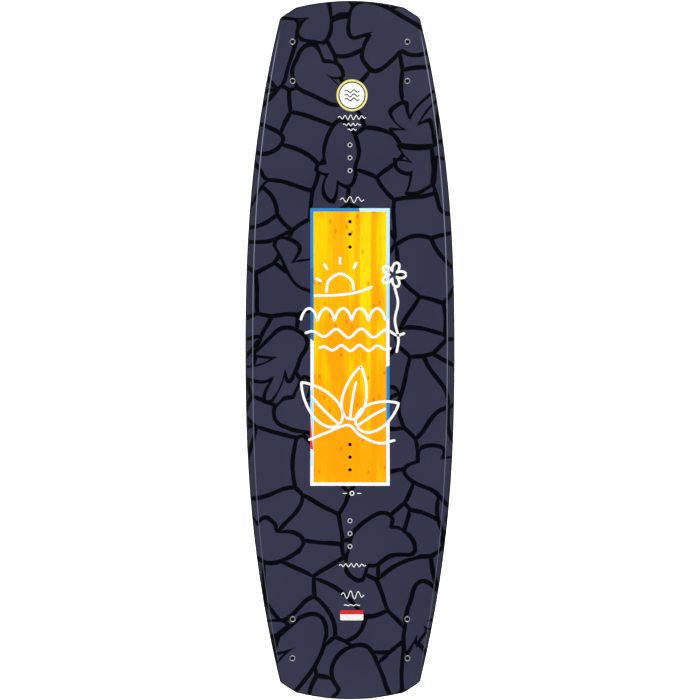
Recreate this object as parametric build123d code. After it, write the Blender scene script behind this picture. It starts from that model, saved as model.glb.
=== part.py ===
"""A wakeboard: a pressed sandwich with a printed deck, a printed base, a moulded rail and bolt-on fins.

The board stands upright. +Z runs from the tail to the nose, the deck faces -Y and the base faces +Y, and left
and right are as seen from the deck. The origin is at the middle of the board's box. Lengths are in
millimetres.
"""
import math
import os
from build123d import *

# Outline, seen square on to the deck
LENGTH = 1380.0
WIDTH = 426.0
CORNER_WIDTH = 278.0
CORNER_Z = 657.0
OUTLINE_POWER = 2.3
TIP_FLAT_WIDTH = 213.0
TIP_RADIUS = 450.0
CORNER_ROUNDING = 8.0
SHOULDER_ROUNDING = 20.0

# Side view: flat in the middle, then a straight wing to each tip
ROCKER = 64.0
WING_BLEND_START = 40.0
WING_START = 185.0
THICKNESS = 20.0
TIP_THICKNESS = 12.0

# Edge: a wide bevel on the deck, narrower at the tips, and a small one on the base
EDGE_THICKNESS = 9.0
BEVEL = 16.0
TIP_BEVEL = 5.5
BASE_BEVEL = 3.0
BASE_BEVEL_DROP = 2.0

# Layers of the sandwich
TOPSHEET = 0.6
LAMINATE = 0.8
BASE_SHEET = 1.0
RAIL_WIDTH = 22.0
RIM_WIDTH = 2.5

# How far the lofted layers run past the outline before they are cut to it, and how far apart their slices are
END_OVERRUN = 12.0
SIDE_OVERRUN = 1.0
SLICE_PITCH = 47.0

# Window in the deck, and the wood panel in it
WINDOW_WIDTH = 160.0
WINDOW_LENGTH = 558.0
WINDOW_SHIFT = 6.0

# Binding inserts for M6 screws: three to a group, two groups under each foot
STANCE_SHIFT = 8.5
FOOT_Z = 300.3
GROUP_SPACING = 152.4
HOLE_PITCH = 25.4
M6_RADIUS = 3.0
M6_HOLE_DEPTH = 10.0
INSERT_RADIUS = 4.8
INSERT_DEPTH = 11.5
FLANGE_RADIUS = 7.5
FLANGE_THICKNESS = 1.6
PANEL_HOLE_RADIUS = 3.5
PANEL_CLEARANCE = 0.15
INSERT_PROUD = 0.1

# Hard strips in the core that hold the inserts
STRIP_WIDTH = 34.0
STRIP_OVERHANG = 16.0
STRIP_DEPTH = 13.0

# Fins
FIN_X = 114.0
FIN_Z = 573.0
FIN_LENGTH = 178.0
FIN_HEIGHT = 24.0
FIN_CREST_LENGTH = 92.0
FIN_CREST_ROUNDING = 28.0
FIN_ROOT_THICKNESS = 10.0
FIN_ROOT_TAPER_LENGTH = 40.0
FIN_DRAFT = 5.0

# Ridges moulded in the base under the fins: low and narrow at the inner end, high and wide by the tip
RIDGE_LENGTH = 178.0
RIDGE_RUN_OUT = 22.0
RIDGE_WIDTH = 42.0
RIDGE_CREST = 11.0
RIDGE_HEIGHT = 7.0
RIDGE_NARROW_END = 3.0
RIDGE_LOW_END = 0.3

# Screws from the deck into each fin: M5, with a cupped washer and a threaded insert
SCREW_SPACING = 76.2
SCREW_RADIUS = 2.5
SCREW_HOLE_RADIUS = 2.8
SCREW_LENGTH = 25.0
HEAD_RADIUS = 4.3
HEAD_HEIGHT = 2.6
RECESS_WIDTH = 1.2
RECESS_SPAN = 5.0
RECESS_DEPTH = 1.6
WASHER_RADIUS = 5.8
WASHER_RIM_RADIUS = 4.9
WASHER_HEIGHT = 1.4
FIN_INSERT_RADIUS = 3.6
FIN_INSERT_END = 27.0

STRAIGHT_RUN = LENGTH / 2 - (WING_BLEND_START + WING_START) / 2
DECK_ROCKER = ROCKER - THICKNESS + TIP_THICKNESS
MID_BASE_Y = (ROCKER + TIP_THICKNESS) / 2
MID_DECK_Y = MID_BASE_Y - THICKNESS
CORE_UNDER_DECK = TOPSHEET + LAMINATE
CORE_OVER_BASE = BASE_SHEET + LAMINATE
CUT = 60.0


# The board's surfaces


def rise(z):
    """Share of the rocker reached at a height: none in the middle, a parabola, then a straight wing."""
    s = abs(z)
    if s <= WING_BLEND_START:
        return 0.0
    if s < WING_START:
        return (s - WING_BLEND_START) ** 2 / (2 * (WING_START - WING_BLEND_START) * STRAIGHT_RUN)
    return (s - (WING_BLEND_START + WING_START) / 2) / STRAIGHT_RUN


def deck_y(z):
    return MID_DECK_Y - DECK_ROCKER * rise(z)


def base_y(z):
    return MID_BASE_Y - ROCKER * rise(z)


def half_width(z):
    """Half of the outline's width: a power curve from the middle to the corner by the tip."""
    return WIDTH / 2 - (WIDTH - CORNER_WIDTH) / 2 * (abs(z) / CORNER_Z) ** OUTLINE_POWER


def deck_plane(x, z):
    """Plane on the nose's deck wing: local y runs to the tip and local z points out of the deck."""
    return Plane((x, deck_y(z), z), x_dir=(1, 0, 0), z_dir=(0, -1, -DECK_ROCKER / STRAIGHT_RUN))


def base_plane(x, z):
    """Plane on the nose's base wing: local y runs to the tip and local z points out of the base."""
    return Plane((x, base_y(z), z), x_dir=(-1, 0, 0), z_dir=(0, 1, ROCKER / STRAIGHT_RUN))


# The layers


def bevelled_line(z, flat_y, inset, drop):
    """Right half of a line across the board: the flat, then down the bevel and just past the edge."""
    past = (inset + SIDE_OVERRUN) / inset
    return [(half_width(z) - inset, flat_y), (half_width(z) + SIDE_OVERRUN, flat_y + drop * past)]


def deck_line(z, depth):
    """A line across the board at a depth under the deck."""
    inset = BEVEL + (TIP_BEVEL - BEVEL) * min(abs(z) / CORNER_Z, 1.0) ** 2
    drop = base_y(z) - EDGE_THICKNESS - deck_y(z)
    return bevelled_line(z, deck_y(z) + depth, inset, drop)


def base_line(z, depth):
    """A line across the board at a depth inside the base."""
    return bevelled_line(z, base_y(z) - depth, BASE_BEVEL, -BASE_BEVEL_DROP)


def slice_face(z, deck_side, base_side):
    """A slice of a layer at a height: two half lines and their mirror images."""
    right = deck_side + base_side[::-1]
    left = [(-x, y) for x, y in right[::-1]]
    return Plane.XY.offset(z) * make_face(Polyline(*right, *left, close=True))


def layer(line, from_depth, other_line, to_depth):
    """A layer between two lines, lofted from below the tail to above the nose, still wider than the board."""
    reach = LENGTH / 2 + END_OVERRUN
    count = 2 * math.ceil(reach / SLICE_PITCH)
    heights = [reach * (2 * i / count - 1) for i in range(count + 1)]
    slices = [slice_face(z, line(z, from_depth), other_line(z, to_depth)) for z in heights]
    return loft(slices)


def vertices_at(face, height):
    """The outline's vertices at a height and at its mirror image."""
    return [v for v in face.vertices() if abs(abs(v.Y) - height) < 0.01]


def outline_prism(inset):
    """The board's outline drawn in by an inset, as a prism through the board."""
    tip_z = LENGTH / 2 - inset
    flat = (TIP_FLAT_WIDTH - inset) / 2
    shoulder_z = tip_z - TIP_RADIUS + math.sqrt(TIP_RADIUS**2 - flat**2)
    mid_arc = TIP_RADIUS * math.sin(math.asin(flat / TIP_RADIUS) / 2)
    mid_arc_z = tip_z - TIP_RADIUS + math.sqrt(TIP_RADIUS**2 - mid_arc**2)
    corner_z = CORNER_Z - inset / 2
    side = [(half_width(z) - inset, z) for z in (corner_z * i / 4 for i in range(5))]
    fall = OUTLINE_POWER * (half_width(0) - half_width(corner_z)) / corner_z
    quarter = (
        Spline(*side, tangents=[(0, 1), (-fall, 1)])
        + Line(side[-1], (flat, shoulder_z))
        + ThreePointArc((flat, shoulder_z), (mid_arc, mid_arc_z), (0, tip_z))
    )
    half = quarter + mirror(quarter, about=Plane.YZ)
    face = make_face(half + mirror(half, about=Plane.XZ))
    face = fillet(vertices_at(face, corner_z), CORNER_ROUNDING)
    face = fillet(vertices_at(face, shoulder_z), SHOULDER_ROUNDING)
    return extrude(Plane.XZ * face, CUT, both=True)


def window_prism():
    """The deck's window, as a prism right through the board."""
    window = Pos(0, WINDOW_SHIFT) * Rectangle(WINDOW_WIDTH, WINDOW_LENGTH)
    return extrude(Plane.XZ * window, CUT, both=True)


def trapezoid(y, bottom, top, height):
    """An upright trapezoid across the local y axis, sunk a little into the base."""
    low = -BASE_SHEET / 2
    outline = [(-bottom / 2, low), (bottom / 2, low), (top / 2, height), (-top / 2, height)]
    return Plane((0, y, 0), x_dir=(1, 0, 0), z_dir=(0, -1, 0)) * make_face(Polyline(*outline, close=True))


def ridge(x):
    """Ridge under a nose fin: a wedge that widens and rises to the tip, then runs out to the edge."""
    end = RIDGE_LENGTH / 2
    faces = [
        trapezoid(-end, RIDGE_NARROW_END, RIDGE_NARROW_END / 2, RIDGE_LOW_END),
        trapezoid(end, RIDGE_WIDTH, RIDGE_CREST, RIDGE_HEIGHT),
        trapezoid(end + RIDGE_RUN_OUT, RIDGE_WIDTH, RIDGE_CREST, RIDGE_LOW_END),
    ]
    return base_plane(x, FIN_Z) * loft(faces, ruled=True)


# Pieces at both ends of the board


def at_end(shape, end):
    """A shape modelled on the nose, or its mirror image on the tail."""
    return shape if end == "nose" else mirror(shape, about=Plane.XY)


def foot_z(end):
    return FOOT_Z + (STANCE_SHIFT if end == "nose" else -STANCE_SHIFT)


def group_holes(end, place):
    """Deck planes at a group's three hole centres, on the nose side."""
    middle = GROUP_SPACING / 2 * (1 if place == "outer" else -1)
    seat = deck_plane(0, foot_z(end))
    return [seat * Pos(0, middle + step * HOLE_PITCH) for step in (-1, 0, 1)]


def post(radius, top, bottom):
    """A round post from one depth to another under the local plane."""
    return Pos(0, 0, -(top + bottom) / 2) * Cylinder(radius, bottom - top)


def insert_body(top):
    """Outside of a binding insert: a barrel with a flange that sits on the strip."""
    flange_bottom = CORE_UNDER_DECK + FLANGE_THICKNESS
    return post(INSERT_RADIUS, top, INSERT_DEPTH) + post(FLANGE_RADIUS, CORE_UNDER_DECK, flange_bottom)


def binding_inserts(end, place):
    """A group of inserts: just proud of the deck, or just under the wood panel."""
    top = -INSERT_PROUD if place == "outer" else TOPSHEET + PANEL_CLEARANCE
    threaded = insert_body(top) - post(M6_RADIUS, top, M6_HOLE_DEPTH)
    return [at_end(hole * threaded, end) for hole in group_holes(end, place)]


def insert_pockets(end):
    """What all the inserts under one foot take out of the layers."""
    holes = group_holes(end, "inner") + group_holes(end, "outer")
    return [at_end(hole * insert_body(-INSERT_PROUD), end) for hole in holes]


def panel_holes(end):
    """Screw holes through the wood panel, over the inner inserts."""
    return [at_end(hole * post(PANEL_HOLE_RADIUS, -1, 1), end) for hole in group_holes(end, "inner")]


def strip_block(end):
    """The block of core that an insert strip takes up."""
    length = GROUP_SPACING + 2 * HOLE_PITCH + 2 * STRIP_OVERHANG
    block = Pos(0, 0, -STRIP_DEPTH / 2) * Box(STRIP_WIDTH, length, STRIP_DEPTH)
    return at_end(deck_plane(0, foot_z(end)) * block, end)


# Fins and their fasteners


def fin_blank():
    """A fin: a leaf-shaped root with draft, cut to a rounded side view."""
    long, crest = FIN_LENGTH / 2, FIN_CREST_LENGTH / 2
    thick = FIN_ROOT_THICKNESS / 2
    straight = long - FIN_ROOT_TAPER_LENGTH
    right = [(0, -long), (thick, -straight), (thick, straight), (0, long)]
    leaf = right + [(-x, y) for x, y in right[2:0:-1]]
    body = extrude(make_face(Polyline(*leaf, close=True)), FIN_HEIGHT, taper=FIN_DRAFT)
    side = Polyline((-long, 0), (-crest, FIN_HEIGHT), (crest, FIN_HEIGHT), (long, 0), close=True)
    view = make_face(side)
    view = fillet([v for v in view.vertices() if v.Y > 1], FIN_CREST_ROUNDING)
    return body & extrude(Plane.YZ * view, CUT, both=True)


def screw_seats(x):
    """Deck planes under the two screw heads of a nose fin."""
    seat = deck_plane(x, FIN_Z)
    return [seat * Pos(0, step * SCREW_SPACING / 2) for step in (-1, 1)]


def fin_screw():
    """A countersunk oval-head screw with a cross recess, its head resting in the washer's cone."""
    top, rim = HEAD_HEIGHT, WASHER_HEIGHT
    bulge = (HEAD_RADIUS * 0.55, rim + (top - rim) * 0.8)
    shank = [(0, top), (0, -SCREW_LENGTH), (SCREW_RADIUS, -SCREW_LENGTH), (SCREW_RADIUS, 0)]
    outline = Polyline(*shank, (HEAD_RADIUS, rim))
    outline += ThreePointArc((HEAD_RADIUS, rim), bulge, (0, top))
    body = revolve(Plane.XZ * make_face(outline), Axis.Z)
    slot = Pos(0, 0, top) * Box(RECESS_SPAN, RECESS_WIDTH, 2 * RECESS_DEPTH)
    return body - slot - Rot(0, 0, 90) * slot


def cupped_washer():
    """A finishing washer, with a cone inside for the screw's head."""
    outline = Polyline(
        (SCREW_RADIUS, 0),
        (WASHER_RADIUS, 0),
        (WASHER_RIM_RADIUS, WASHER_HEIGHT),
        (HEAD_RADIUS, WASHER_HEIGHT),
        close=True,
    )
    return revolve(Plane.XZ * make_face(outline), Axis.Z)


def cut_by(shape, tools):
    for tool in tools:
        shape = shape - tool
    return shape


def fin_set(end, side):
    """One fin with its screws, washers and threaded inserts."""
    x = FIN_X if side == "right" else -FIN_X
    seats = screw_seats(x)
    screws = [seat * fin_screw() for seat in seats]
    pockets = [seat * post(FIN_INSERT_RADIUS, 0, FIN_INSERT_END) for seat in seats]
    sleeve = post(FIN_INSERT_RADIUS, 0, FIN_INSERT_END) - post(SCREW_RADIUS, 0, SCREW_LENGTH)
    above_base = base_plane(x, FIN_Z) * Pos(0, 0, CUT / 2) * Box(CUT, 2 * FIN_LENGTH, CUT)
    nose_ridge = ridge(x)
    fin = cut_by(base_plane(x, FIN_Z) * fin_blank(), [nose_ridge] + pockets)
    inserts = [(seat * sleeve & above_base) - nose_ridge for seat in seats]
    return {
        "fin": [at_end(fin, end)],
        "fin_screws": [at_end(screw, end) for screw in screws],
        "fin_washers": [at_end(seat * cupped_washer(), end) for seat in seats],
        "fin_inserts": [at_end(insert, end) for insert in inserts],
    }


def screw_holes():
    """Clearance holes for every fin screw, right through the board."""
    drill = post(SCREW_HOLE_RADIUS, -1, CUT)
    nose = [seat * drill for x in (-FIN_X, FIN_X) for seat in screw_seats(x)]
    return nose + [at_end(hole, "tail") for hole in nose]


# Assembly


def board():
    """Every layer of the board, drilled for its fasteners."""
    ends = ("nose", "tail")
    holes = screw_holes()
    pockets = [pocket for end in ends for pocket in insert_pockets(end)]
    strips = [strip_block(end) for end in ends]
    window = window_prism()
    edge = outline_prism(0)
    inside_rim = outline_prism(RIM_WIDTH)
    inside_rail = outline_prism(RAIL_WIDTH)
    skin = layer(deck_line, 0, deck_line, TOPSHEET) & inside_rim
    top_glass = layer(deck_line, TOPSHEET, deck_line, CORE_UNDER_DECK) & inside_rim
    middle = layer(deck_line, CORE_UNDER_DECK, base_line, CORE_OVER_BASE) & inside_rim
    middle_core = middle & inside_rail
    rim = (layer(deck_line, 0, base_line, 0) & edge) - inside_rim
    base_glass = layer(base_line, CORE_OVER_BASE, base_line, BASE_SHEET) & inside_rim
    base = layer(base_line, BASE_SHEET, base_line, 0) & inside_rim
    for x in (-FIN_X, FIN_X):
        for end in ends:
            base += at_end(ridge(x), end) & inside_rim
    nodes = {
        "topsheet": cut_by(skin, [window] + pockets + holes),
        "bamboo_panel": cut_by(skin & window, panel_holes("nose") + panel_holes("tail")),
        "top_laminate": cut_by(top_glass, pockets + holes),
        "wood_core": cut_by(middle_core, strips + holes),
        "perimeter_rail": (middle - inside_rail) + rim,
        "base_laminate": cut_by(base_glass, holes),
        "base_sheet": cut_by(base, holes),
    }
    for end, strip in zip(ends, strips):
        nodes[end + "_insert_strip"] = cut_by(middle_core & strip, pockets)
    return nodes


def wakeboard():
    """Every node of the wakeboard, by name."""
    nodes = board()
    for end in ("nose", "tail"):
        for place in ("outer", "inner"):
            nodes[f"{end}_{place}_inserts"] = binding_inserts(end, place)
        for side in ("left", "right"):
            for name, solids in fin_set(end, side).items():
                nodes[f"{end}_{side}_{name}"] = solids
    return nodes


def main():
    os.makedirs("parts", exist_ok=True)
    for name, shape in wakeboard().items():
        if isinstance(shape, list):
            shape = shape[0] if len(shape) == 1 else Compound(children=shape)
        shape.label = name
        export_step(shape, f"parts/{name}.step")


if __name__ == "__main__":
    main()
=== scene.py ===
"""A wakeboard in a pale studio: finishes, printed marks and moulded fins, laid out as a Blender add-on.

The board stands upright. +Z runs from the tail to the nose, the deck faces -Y and the base faces +Y. Lengths
are in metres, written as millimetres times MM. A print on the board is worked out in the plane of the board,
as (x, z, height above the skin), and is then laid on the deck or the base.
"""
import math

import bpy
import numpy as np
from bpy.props import FloatProperty, FloatVectorProperty, IntProperty, PointerProperty
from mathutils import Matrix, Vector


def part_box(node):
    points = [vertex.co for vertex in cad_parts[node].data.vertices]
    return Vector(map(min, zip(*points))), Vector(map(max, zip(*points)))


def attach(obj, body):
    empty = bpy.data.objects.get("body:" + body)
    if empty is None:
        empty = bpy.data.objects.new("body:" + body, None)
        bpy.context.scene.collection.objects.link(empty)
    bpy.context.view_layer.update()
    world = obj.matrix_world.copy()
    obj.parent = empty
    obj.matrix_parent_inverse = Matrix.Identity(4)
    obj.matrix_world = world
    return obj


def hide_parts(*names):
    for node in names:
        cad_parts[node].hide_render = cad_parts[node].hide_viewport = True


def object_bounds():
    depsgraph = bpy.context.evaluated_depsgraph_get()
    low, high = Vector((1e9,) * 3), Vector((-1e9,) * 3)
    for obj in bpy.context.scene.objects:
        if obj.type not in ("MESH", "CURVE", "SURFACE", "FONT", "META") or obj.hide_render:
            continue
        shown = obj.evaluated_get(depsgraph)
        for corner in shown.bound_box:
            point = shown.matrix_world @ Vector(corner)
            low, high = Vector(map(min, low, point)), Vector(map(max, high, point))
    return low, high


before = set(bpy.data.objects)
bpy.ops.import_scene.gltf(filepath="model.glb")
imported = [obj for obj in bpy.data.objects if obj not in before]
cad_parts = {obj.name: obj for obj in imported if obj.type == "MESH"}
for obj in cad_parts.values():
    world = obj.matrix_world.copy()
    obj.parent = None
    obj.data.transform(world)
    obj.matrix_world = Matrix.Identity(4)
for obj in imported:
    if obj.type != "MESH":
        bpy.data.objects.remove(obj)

bl_info = {
    "name": "Wakeboard Maker",
    "version": (1, 0, 0),
    "blender": (4, 5, 0),
    "location": "3D View > Sidebar > Wakeboard",
    "description": "Finishes, printed marks and fins for a wakeboard, and a studio to show it in",
    "category": "Object",
}

CAD_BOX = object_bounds()
MM = 0.001
TURN = 2 * math.pi

# The board's own lines, as its model has them
LENGTH = CAD_BOX[1].z - CAD_BOX[0].z
HALF_WIDTH = (CAD_BOX[1].x - CAD_BOX[0].x) / 2
WAIST_LOSS = 74 * MM
CORNER_Z = 657 * MM
OUTLINE_POWER = 2.3
BEND_START = 40 * MM
BEND_END = 185 * MM
STRAIGHT_RUN = LENGTH / 2 - (BEND_START + BEND_END) / 2
MID_DECK_Y = 18 * MM
DECK_RISE = 56 * MM
MID_BASE_Y = 38 * MM
BASE_RISE = 64 * MM
BEVEL = 16 * MM
BEVEL_LOSS = 10.5 * MM
WINDOW_LOW, WINDOW_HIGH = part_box("bamboo_panel")

# Prints are thin films of ink, sunk a little into the skin so that no gap shows under them
INK = 0.16 * MM
SUNK = 0.3 * MM

MATH = "ShaderNodeMath"
VECTOR_MATH = "ShaderNodeVectorMath"
MIX = "ShaderNodeMix"
NOISE = "ShaderNodeTexNoise"
VORONOI = "ShaderNodeTexVoronoi"
RAMP = "ShaderNodeValToRGB"
SEPARATE = "ShaderNodeSeparateXYZ"
COMBINE = "ShaderNodeCombineXYZ"
MAP_RANGE = "ShaderNodeMapRange"
BUMP = "ShaderNodeBump"


# Colour and nodes


def linear(colour):
    """A colour written as sRGB hex, turned to linear light, with full cover."""
    channels = [int(colour[i : i + 2], 16) / 255 for i in (1, 3, 5)]
    return tuple(c / 12.92 if c <= 0.04045 else ((c + 0.055) / 1.055) ** 2.4 for c in channels) + (1.0,)


def opaque(colour):
    """A colour field's three channels, with full cover."""
    return (*colour, 1.0)


def connect(tree, value, socket):
    """Lead a socket, or a node's first open output, into a socket, or set the socket to a plain value."""
    if isinstance(value, bpy.types.Node):
        value = next(output for output in value.outputs if output.enabled)
    if isinstance(value, bpy.types.NodeSocket):
        tree.links.new(value, socket)
    elif value is not None:
        socket.default_value = value


def put(tree, kind, *inputs, named=None, **settings):
    """Add a node with its settings. Its inputs are given in order, or by name."""
    node = tree.nodes.new(kind)
    for name, value in settings.items():
        setattr(node, name, value)
    open_sockets = [socket for socket in node.inputs if socket.enabled]
    for socket, value in zip(open_sockets, inputs):
        connect(tree, value, socket)
    for name, value in (named or {}).items():
        connect(tree, value, node.inputs[name])
    return node


def set_stops(ramp, stops, interpolation="LINEAR"):
    """Give a colour ramp its stops, as (place, hex colour) pairs."""
    ramp.color_ramp.interpolation = interpolation
    elements = ramp.color_ramp.elements
    while len(elements) < len(stops):
        elements.new(1.0)
    for element, (place, colour) in zip(elements, stops):
        element.position = place
        element.color = linear(colour)
    return ramp


def new_material(name):
    """An empty material, with its node tree, its Principled shader and the piece's own coordinates."""
    material = bpy.data.materials.new(name)
    material.use_nodes = True
    tree = material.node_tree
    shader = tree.nodes["Principled BSDF"]
    place = put(tree, "ShaderNodeTexCoord").outputs["Object"]
    return material, tree, shader, place


def set_shader(shader, **values):
    """Set the shader's own sockets, written with underscores for spaces."""
    for name, value in values.items():
        shader.inputs[name.replace("_", " ")].default_value = value


# Shapes


def rise(z):
    """Share of the rocker reached at a height: none in the middle, a parabola, then a straight wing."""
    s = np.abs(z)
    parabola = np.clip(s - BEND_START, 0, None) ** 2 / (2 * (BEND_END - BEND_START) * STRAIGHT_RUN)
    wing = (s - (BEND_START + BEND_END) / 2) / STRAIGHT_RUN
    return np.where(s < BEND_END, parabola, wing)


def on_deck(sheet):
    """Points given as (x, z, height above the deck), laid on the deck."""
    x, z, height = np.moveaxis(sheet, -1, 0)
    return np.stack([x, MID_DECK_Y - DECK_RISE * rise(z) - height, z], -1)


def on_base(sheet):
    """Points given as (x, z, height above the base), laid on the base."""
    x, z, height = np.moveaxis(sheet, -1, 0)
    return np.stack([x, MID_BASE_Y - BASE_RISE * rise(z) + height, z], -1)


def quads(rows, columns, close_rows=False):
    """Faces of a grid of points, closed across its columns, and along its rows too if asked."""
    row = np.arange(rows if close_rows else rows - 1)[:, None]
    column = np.arange(columns)[None, :]
    after, beside = (row + 1) % rows, (column + 1) % columns
    here, above = row * columns, after * columns
    corners = [here + column, above + column, above + beside, here + beside]
    return np.stack(np.broadcast_arrays(*corners), -1).reshape(-1, 4).tolist()


def fan(pole, ring):
    """Triangles from a pole to a ring of points."""
    return np.stack([np.full(len(ring), pole), np.roll(ring, -1), ring], -1).tolist()


def skin(rings, closed=False):
    """Points and faces of a closed skin: rings of points, capped by poles or joined end to end."""
    rows, columns = rings.shape[:2]
    points = rings.reshape(-1, 3)
    faces = quads(rows, columns, closed)
    if not closed:
        last = rows * columns
        points = np.vstack([points, rings[0].mean(0), rings[-1].mean(0)])
        faces += fan(last, np.arange(columns)[::-1]) + fan(last + 1, np.arange(columns) + last - columns)
    return points, faces


def outward(points, faces):
    """The faces, all turned round if the volume they enclose comes out negative."""
    corners = np.array([points[list(face[:3])] for face in faces])
    tail = np.array([points[[face[0], face[2], face[-1]]] for face in faces])
    volume = sum(np.einsum("ij,ij->", t[:, 0], np.cross(t[:, 1], t[:, 2])) for t in (corners, tail))
    return faces if volume > 0 else [face[::-1] for face in faces]


def make_piece(name, skins, material, smooth=False):
    """One mesh object from one or more closed skins, riding on the board."""
    points, faces, count = [], [], 0
    for skin_points, skin_faces in skins:
        turned = outward(skin_points, skin_faces)
        faces += [[index + count for index in face] for face in turned]
        points.append(skin_points)
        count += len(skin_points)
    mesh = bpy.data.meshes.new(name)
    mesh.from_pydata(np.vstack(points), [], faces)
    mesh.polygons.foreach_set("use_smooth", np.full(len(faces), smooth))
    mesh.materials.append(material)
    mesh.update()
    piece = bpy.data.objects.new(name, mesh)
    bpy.context.scene.collection.objects.link(piece)
    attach(piece, "root")
    return piece


def smooth_path(points, samples=24):
    """A curve through a few points in millimetres: between two points it is the Catmull-Rom cubic of four."""
    p = np.array(points, float) * MM
    p = np.vstack([2 * p[0] - p[1], p, 2 * p[-1] - p[-2]])
    t = np.linspace(0, 1, samples, endpoint=False)[None, :, None]
    a, b, c, d = (p[i : len(p) - 3 + i, None, :] for i in range(4))
    square = a - 2.5 * b + 2 * c - d / 2
    cube = 1.5 * (b - c) + (d - a) / 2
    cubic = b + (c - a) * t / 2 + square * t**2 + cube * t**3
    return np.vstack([cubic.reshape(-1, 2), p[-2]])


def stroke(path, width, lay, level=0):
    """A pen stroke: a flat profile carried along a path, its half width a circle's at both ends."""
    ahead = np.gradient(path, axis=0)
    ahead /= np.linalg.norm(ahead, axis=1, keepdims=True) + 1e-12
    side = np.stack([-ahead[:, 1], ahead[:, 0]], -1)
    steps = np.linalg.norm(np.diff(path, axis=0), axis=1)
    run = np.concatenate([[0], np.cumsum(steps)])
    from_end = np.minimum(run, run[-1] - run) / (width / 2)
    half = width / 2 * np.sqrt(np.clip(1 - np.clip(1 - from_end, 0, 1) ** 2, 0.02, 1))
    across = np.array([-1, -0.97, 0.97, 1, 0.9, -0.9])
    height = np.array([0, 1, 1, 0, -1, -1]) * SUNK
    height[1:3] = INK * (1 + level)
    flat = path[:, None, :] + side[:, None, :] * (half[:, None] * across[None, :])[..., None]
    rings = np.concatenate([flat, np.broadcast_to(height[None, :, None], flat.shape[:2] + (1,))], -1)
    points, faces = skin(rings)
    return lay(points), faces


def lathe(centre, radii, heights, lay, closed=False, sides=96):
    """A print turned about its centre: a profile of radius and height, carried round a full circle."""
    angle = np.linspace(0, TURN, sides, endpoint=False)
    radius = np.array(radii)[:, None]
    x = centre[0] + radius * np.cos(angle)
    z = centre[1] + radius * np.sin(angle)
    rings = np.stack([x, z, np.broadcast_to(np.array(heights)[:, None], x.shape)], -1)
    points, faces = skin(rings, closed)
    return lay(points), faces


def disc(centre, radius, lay, level=0):
    top = INK * (1 + level)
    return lathe(centre, [0.5 * radius, radius - INK, radius, 0.5 * radius], [top, top, -SUNK, -SUNK], lay)


def ring(centre, inner, outer, lay, level=0):
    top = INK * (1 + level)
    return lathe(centre, [inner, outer, outer, inner], [top, top, -SUNK, -SUNK], lay, closed=True)


def plate(centre, width, height, corner, lay, level=0):
    """A sticker: a superellipse-cornered sheet, x and z scaled from a unit circle by |cos|^p and |sin|^p."""
    angle = np.linspace(0, TURN, 160, endpoint=False)
    power = 2 * corner / min(width, height)
    x = width / 2 * np.sign(np.cos(angle)) * np.abs(np.cos(angle)) ** power
    z = height / 2 * np.sign(np.sin(angle)) * np.abs(np.sin(angle)) ** power
    top = INK * (1 + level)
    scale = np.array([0.02, 1, 1, 0.02])[:, None]
    high = np.array([top, top, -SUNK, -SUNK])[:, None]
    x, z, height = np.broadcast_arrays(centre[0] + scale * x, centre[1] + scale * z, high)
    points, faces = skin(np.stack([x, z, height], -1))
    return lay(points), faces


def wave(left, right, z, height, count):
    """A row of waves: a sine whose height swells in the middle."""
    t = np.linspace(0, 1, 24 * count + 1)
    swell = np.sin(math.pi * t) ** 0.5
    return np.stack([left + (right - left) * t, z + height * swell * np.sin(TURN * count * t)], -1)


def wave_row(left, right, z, height, count):
    """A row of waves given in millimetres."""
    return wave(left * MM, right * MM, z * MM, height * MM, count)


def scallops(left, right, z, height, count):
    """A row of arches in millimetres: the path of a point near the rim of a rolling wheel, stretched up."""
    turn = TURN * count * np.linspace(0, 1, 36 * count + 1)
    x = left + (right - left) * (turn - 0.8 * np.sin(turn)) / (TURN * count)
    return np.stack([x, z + height * (1 - np.cos(turn)) / 2], -1) * MM


def leaf(foot, tip, fullness):
    """A leaf's outline in millimetres: the teardrop curve, round at its foot and pointed at its tip."""
    foot, tip = np.array(foot) * MM, np.array(tip) * MM
    angle = np.linspace(0, TURN, 97)[:, None]
    long = tip - foot
    side = np.array([-long[1], long[0]])
    across = fullness * np.sin(angle) * np.abs(np.cos(angle / 2)) ** 0.7
    return foot + long * (1 - np.cos(angle)) / 2 + side * across


def midrib(foot, tip, fullness):
    """A leaf's rib in millimetres: from its foot most of the way to its tip, bowed by a sine."""
    foot, tip = np.array(foot) * MM, np.array(tip) * MM
    t = np.linspace(0, 0.72, 33)[:, None]
    long = tip - foot
    side = np.array([-long[1], long[0]])
    return foot + long * t + side * 0.12 * fullness * np.sin(math.pi * t)


def rose(centre, radius, petals):
    """A flower drawn in one line: the rose curve, whose radius is the cosine of a multiple of the angle."""
    angle = np.linspace(0, math.pi, 60 * petals + 1)
    reach = radius * (0.3 + 0.7 * np.abs(np.cos(petals * angle)))
    angle = 2 * angle
    return np.array(centre) + np.stack([reach * np.cos(angle), reach * np.sin(angle)], -1)


# Materials: printed skins


def new_group(name, numbers, outputs):
    """An empty node group that takes some numbers and a place, and gives the named outputs."""
    tree = bpy.data.node_groups.new(name, "ShaderNodeTree")
    for number in numbers:
        tree.interface.new_socket(number, in_out="INPUT", socket_type="NodeSocketFloat")
    tree.interface.new_socket("Place", in_out="INPUT", socket_type="NodeSocketVector")
    for output, kind in outputs.items():
        tree.interface.new_socket(output, in_out="OUTPUT", socket_type=kind)
    return tree


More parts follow.
